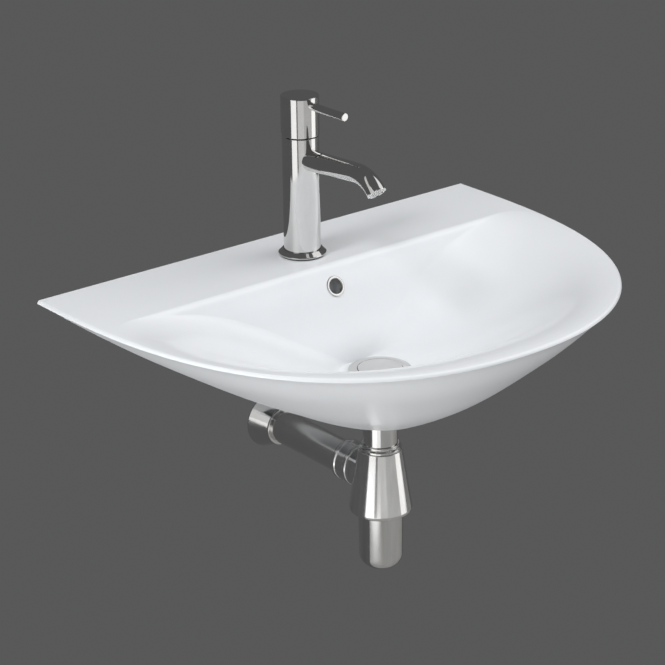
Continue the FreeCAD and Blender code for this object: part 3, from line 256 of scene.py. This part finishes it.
# %% Hidden finishes
SPECKLE_ROUGHNESS = 0.16
HIDDEN = {    # material, two colours, roughness, metallic, strength of the relief
    "steel": ("zinc_plated_steel", (0.50, 0.50, 0.51), (0.62, 0.62, 0.60), 0.38, 1.0, 0.15),
    "brass": ("turned_brass", (0.60, 0.44, 0.20), (0.70, 0.53, 0.27), 0.33, 1.0, 0.12),
    "white_plastic": ("moulded_plastic", (0.72, 0.72, 0.70), (0.77, 0.77, 0.75), 0.48, 0.0, 0.10),
    "disc_ceramic": ("lapped_ceramic", (0.80, 0.79, 0.76), (0.84, 0.83, 0.80), 0.22, 0.0, 0.04),
    "rubber": ("soft_rubber", (0.020, 0.020, 0.021), (0.034, 0.034, 0.034), 0.68, 0.0, 0.25),
}


def plain_finish(name, first, second, roughness, metallic, grain):
    material, tree, inputs = finish_of(name)
    speckle = noise(tree, object_place(tree), scale=120.0, detail=4.0, roughness=0.6)
    feed(tree, tint(tree, speckle, first, second), inputs["Base Color"])
    feed(tree, roughness + SPECKLE_ROUGHNESS * (speckle - MIDDLE), inputs["Roughness"])
    feed(tree, bump(tree, speckle, strength=grain, distance=0.0002), inputs["Normal"])
    inputs["Metallic"].default_value = metallic
    return material


for slot, settings in HIDDEN.items():
    FINISHES[slot] = plain_finish(*settings)
    print(slot + ":", FINISHES[slot].name)

# %% [markdown]
# A nut or a ring is turned on a lathe, so it is drawn as the lathe cuts it: a few corners of a profile, some
# of them rounded. Edges join the corners, each rounded corner is bevelled into an arc, and the outline is
# spun about its axis. A spin gives even quads all the way round, which keeps reflections clean.

# %% Turned pieces
SPIN_STEPS = 96
ARC_STEPS = 5
MERGE = 1e-6
SHARP = math.radians(35)
RIM = Vector((0, 0, 0.065))
UP = Vector((0, 0, 1))


def corner_reach(before, here, after, radius):
    """How far along its edges a corner's rounding of this radius reaches."""
    half = (Vector(before[:2]) - Vector(here[:2])).angle(Vector(after[:2]) - Vector(here[:2])) / 2
    return radius / math.tan(half)


def turn(corners):
    """Spins a closed outline of (radius, height) or (radius, height, rounding) corners about the Z axis."""
    bm = bmesh.new()
    verts = [bm.verts.new((c[0] * MM, 0, c[1] * MM)) for c in corners]
    for pair in zip(verts, verts[1:] + verts[:1]):
        bm.edges.new(pair)
    for k, corner in enumerate(corners):
        if len(corner) > 2:
            reach = corner_reach(corners[k - 1], corner, corners[(k + 1) % len(corners)], corner[2])
            bmesh.ops.bevel(bm, geom=[verts[k]], offset=reach * MM, offset_type="OFFSET", affect="VERTICES",
                            segments=ARC_STEPS, profile=0.5, material=-1)
    bmesh.ops.spin(bm, geom=bm.verts[:] + bm.edges[:], cent=(0, 0, 0), axis=UP, angle=2 * math.pi,
                   steps=SPIN_STEPS, use_merge=True, use_duplicate=False)
    bmesh.ops.remove_doubles(bm, verts=bm.verts[:], dist=MERGE)
    bmesh.ops.recalc_face_normals(bm, faces=bm.faces[:])
    return bm


def keep(bm, name, place, along, finish):
    """Puts a turned mesh on its axis, as the piece that stands for the model's piece of that name."""
    turned = Matrix.Translation(place) @ UP.rotation_difference(along).to_matrix().to_4x4()
    bmesh.ops.transform(bm, matrix=turned, verts=bm.verts[:])
    mesh = bpy.data.meshes.new(name + "_turned")
    bm.to_mesh(mesh)
    bm.free()
    mesh.shade_smooth()
    mesh.set_sharp_from_angle(angle=SHARP)
    mesh.materials.append(FINISHES[finish])
    obj = bpy.data.objects.new(name + "_turned", mesh)
    scene.collection.objects.link(obj)
    body = next(b for b, nodes in frame["record"]["behaviour"]["bodies"].items() if name in nodes)
    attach(obj, body)
    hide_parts(name)
    print(obj.name, len(mesh.polygons), "faces, on", body)


print("turned pieces have", SPIN_STEPS, "steps round, and", ARC_STEPS, "in a rounded corner")

# %% [markdown]
# The aerator screws into the spout's end. Its lip is cut with slots for the key that unscrews it, and they
# show as dark notches in the bright rim. They could be cut out, but setting back the rim's points inside
# each slot after the spin keeps the quads even.

# %% The aerator's ring
SPOUT_END = RIM + Vector((0, -0.17934, 0.09450))
SPOUT_OUT = Vector((0, -0.67558, -0.73727))
AERATOR_BORE, AERATOR_THREAD, AERATOR_LIP = 7.3, 8.55, 9.8
AERATOR_BACK, AERATOR_FRONT = -8.2, 2.0
MOUTH_R, MOUTH_START = 8.0, 1.5
LIP_ROUND, MOUTH_ROUND = 0.45, 0.3
KEY_SLOTS = 6
SLOT_SHARE = 0.22
SLOT_DEPTH = 0.6

aerator = turn([
    (AERATOR_BORE, AERATOR_BACK), (AERATOR_THREAD, AERATOR_BACK), (AERATOR_THREAD, 0), (AERATOR_LIP, 0),
    (AERATOR_LIP, AERATOR_FRONT, LIP_ROUND), (MOUTH_R, AERATOR_FRONT, MOUTH_ROUND),
    (AERATOR_BORE, MOUTH_START)])
for vert in aerator.verts:
    place_in_slot = math.atan2(vert.co.y, vert.co.x) / math.tau * KEY_SLOTS % 1
    if vert.co.z > MM and place_in_slot < SLOT_SHARE:
        vert.co.z -= SLOT_DEPTH * MM
keep(aerator, "aerator_shell", SPOUT_END, SPOUT_OUT, "chrome")

# %% [markdown]
# The outlet nut grips the pipe with a seal behind its lip. Both its ends are beaded, and each bead catches
# the light as a bright crescent. The waist between the beads is plain. A bump can't bend a reflection at
# the outline, so the beads are turned.

# %% The outlet nut
OUTLET = RIM + Vector((0, -0.184, -0.2055))
TO_WALL = Vector((0, 1, 0))
NUT_START, FIRST_BEAD_END = 31.38, 36.2
WAIST_START, WAIST_END = 37.6, 48.2
LAST_BEAD_START, NUT_END = 49.6, 54.67
NUT_BORE, LIP_BORE, LIP_START = 19.35, 17.6, 51.68
BEAD, BEAD_ROUND = 21.6, 2.1
WAIST, WAIST_ROUND = 20.6, 0.5

outlet_nut = turn([
    (NUT_BORE, NUT_START), (BEAD, NUT_START, BEAD_ROUND), (BEAD, FIRST_BEAD_END, BEAD_ROUND),
    (WAIST, WAIST_START, WAIST_ROUND), (WAIST, WAIST_END, WAIST_ROUND),
    (BEAD, LAST_BEAD_START, BEAD_ROUND), (BEAD, NUT_END, BEAD_ROUND),
    (LIP_BORE, NUT_END), (LIP_BORE, LIP_START), (NUT_BORE, LIP_START)])
keep(outlet_nut, "trap_outlet_nut", OUTLET, TO_WALL, "pipe_chrome")

# %% [markdown]
# The chrome nuts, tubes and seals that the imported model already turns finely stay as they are. Each takes the
# finish of its slot. The trap's pieces take a plate whose polishing lines run up and down, and the pipe to
# the wall a softer one whose lines run along it.

# %% Finishes for the kept pieces
BRUSHED = dict.fromkeys(
    ("trap_body", "trap_cup", "trap_inlet_nut", "trap_dip_tube", "trap_union_nut"), "trap_chrome")
BRUSHED["trap_outlet_pipe"] = "pipe_chrome"
for name, obj in frame["nodes"].items():
    for holder in obj.material_slots:
        slot = holder.material.name.split(".")[0]
        holder.material = FINISHES[BRUSHED.get(name, slot)]
print("finished", len(frame["nodes"]), "kept pieces")

# %% [markdown]
# The stage is a plain wall-grey backdrop at the wall plane and a light grey floor below. The backdrop shows
# its plain colour to the camera and in the chrome, but it sends paler light back to the basin, as a broad lit
# wall does. A view from behind looks through it, and it is open behind the basin's back, so that light
# reaches that side too.

# %% Stage
BACKDROP_GREY = (0.099, 0.099, 0.101)
WALL_BOUNCE = (0.35, 0.35, 0.35)
WALL = 0.001
BASIN_BACK = ((0.081, -0.0635), (0.174, -0.009), (0.271, 0.0615))
FLOOR_BELOW = -0.785
FLOOR_COLOUR = (0.36, 0.36, 0.355)
FLOOR_ROUGHNESS = 0.8
REACH = 6.0
SQUARE = ((-REACH, -REACH), (REACH, -REACH), (REACH, REACH), (-REACH, REACH))
SEEN_BY = ("Is Camera Ray", "Is Glossy Ray", "Is Transmission Ray")


def sheet(name, loops, normal, material):
    """A flat sheet inside the first loop of corners, open inside the others."""
    bm = bmesh.new()
    for corners in loops:
        verts = [bm.verts.new(c) for c in corners]
        for pair in zip(verts, verts[1:] + verts[:1]):
            bm.edges.new(pair)
    bmesh.ops.triangle_fill(bm, edges=bm.edges[:], normal=normal, use_beauty=True)
    mesh = bpy.data.meshes.new(name)
    bm.to_mesh(mesh)
    bm.free()
    mesh.materials.append(material)
    obj = bpy.data.objects.new(name, mesh)
    scene.collection.objects.link(obj)
    print(name, len(mesh.polygons), "faces, facing", [round(v) for v in mesh.polygons[0].normal])


def seen_directly(tree):
    """1 where the camera, chrome or glass looks at a surface, 0 where it only lights others."""
    camera_ray, glossy_ray, glass_ray = (node(tree, "ShaderNodeLightPath", output=ray) for ray in SEEN_BY)
    return node(tree, "ShaderNodeClamp", inputs={"Value": camera_ray + glossy_ray + glass_ray})


def backdrop_paint():
    """Plain grey to the camera, chrome and glass; a paler matt wall to light; see-through from behind."""
    material = bpy.data.materials.new("backdrop_paint")
    material.use_nodes = True
    tree = material.node_tree
    tree.nodes.clear()
    seen = seen_directly(tree)
    matt = node(tree, "ShaderNodeBsdfDiffuse", inputs={"Color": (*WALL_BOUNCE, 1)})
    plain = node(tree, "ShaderNodeEmission", inputs={"Color": (*BACKDROP_GREY, 1)})
    front = node(tree, "ShaderNodeMixShader", inputs={0: seen, 1: matt, 2: plain})
    behind = node(tree, "ShaderNodeNewGeometry", output="Backfacing")
    through = node(tree, "ShaderNodeBsdfTransparent")
    shown = node(tree, "ShaderNodeMixShader", inputs={0: behind, 1: front, 2: through})
    out = tree.nodes.new("ShaderNodeOutputMaterial")
    feed(tree, shown, out.inputs["Surface"])
    return material


def floor_paint():
    material, _, inputs = finish_of("floor_paint")
    inputs["Base Color"].default_value = (*FLOOR_COLOUR, 1)
    inputs["Roughness"].default_value = FLOOR_ROUGHNESS
    return material


backdrop_edge = [(x, WALL, z) for x, z in SQUARE]
basin_back = [(x, WALL, z) for x, z in BASIN_BACK] + [(-x, WALL, z) for x, z in reversed(BASIN_BACK)]
sheet("backdrop", [backdrop_edge, basin_back], -TO_WALL, backdrop_paint())
sheet("floor", [[(x, y, FLOOR_BELOW) for x, y in SQUARE]], UP, floor_paint())

# %% [markdown]
# Four soft lamps light the basin: a broad one above, a small key high on the left that throws the tap's soft
# shadow, a fill on the right and a low one for the underside. The chrome and the glaze don't mirror those.
# What they mirror are the panels: two in front, three on the left, of which one by the wall gives the spout's
# tip its streak, two on the right, and a low one for the trap's cup. The surroundings stay dim, so the chrome
# keeps dark edges.

# %% Lamps
DIM_LIGHT = (0.58, 0.58, 0.58)
LAMPS = {    # place, target, width, height, power, mirrored
    "top_light": ((0.0, -0.15, 1.85), (0, -0.20, 0.0), 1.9, 1.1, 11.2, False),
    "key_light": ((-1.30, -0.15, 1.60), (0, -0.15, 0.0), 0.45, 0.45, 12.6, False),
    "front_panel": ((-1.40, -1.87, -0.40), (-1.4, -0.1, -0.4), 1.8, 0.7, 1.8, True),
    "front_right_panel": ((0.40, -1.87, -0.40), (0.4, -0.1, -0.4), 1.8, 0.7, 1.2, True),
    "left_panel": ((-1.5, -0.46, -0.30), (0, -0.1, -0.30), 0.9, 1.0, 2.7, True),
    "left_high_panel": ((-1.5, -0.46, 0.65), (0, -0.1, 0.65), 0.9, 0.9, 1.6, True),
    "left_wall_panel": ((-0.95, -0.02, 0.60), (-0.95, -1.0, 0.60), 1.0, 0.9, 1.6, True),
    "right_strip": ((1.45, -1.35, 0.4), (0, -0.1, 0.4), 1.0, 2.2, 7.2, True),
    "high_panel": ((1.15, -0.75, 1.35), (0, -0.18, 0.16), 1.2, 1.1, 3.4, True),
    "right_light": ((1.30, -0.35, 0.95), (0.15, -0.20, 0.06), 0.8, 0.8, 3.0, False),
    "low_light": ((-0.90, -0.10, -0.66), (-0.15, -0.12, 0.0), 1.0, 0.7, 9.8, False),
    "low_panel": ((-1.0, -0.62, -0.56), (0, -0.2, -0.3), 1.1, 0.42, 1.1, True),
}


def lamp(name, place, target, width, height, power, mirrored):
    """A soft panel that faces its target; mirrored says whether chrome and glaze reflect it."""
    light = bpy.data.lights.new(name, "AREA")
    light.shape = "RECTANGLE"
    light.size = width
    light.size_y = height
    light.energy = power
    obj = bpy.data.objects.new(name, light)
    scene.collection.objects.link(obj)
    look = Vector(place) - Vector(target)
    obj.matrix_world = Matrix.Translation(place) @ look.to_track_quat("Z", "Y").to_matrix().to_4x4()
    obj.visible_camera = False
    obj.visible_glossy = mirrored


for name, settings in LAMPS.items():
    lamp(name, *settings)

world = bpy.data.worlds.new("surroundings")
world.use_nodes = True
air = world.node_tree
feed(air, tint(air, seen_directly(air), DIM_LIGHT, BACKDROP_GREY), air.nodes["Background"].inputs["Color"])
scene.world = world
print("lamps", sorted(LAMPS))
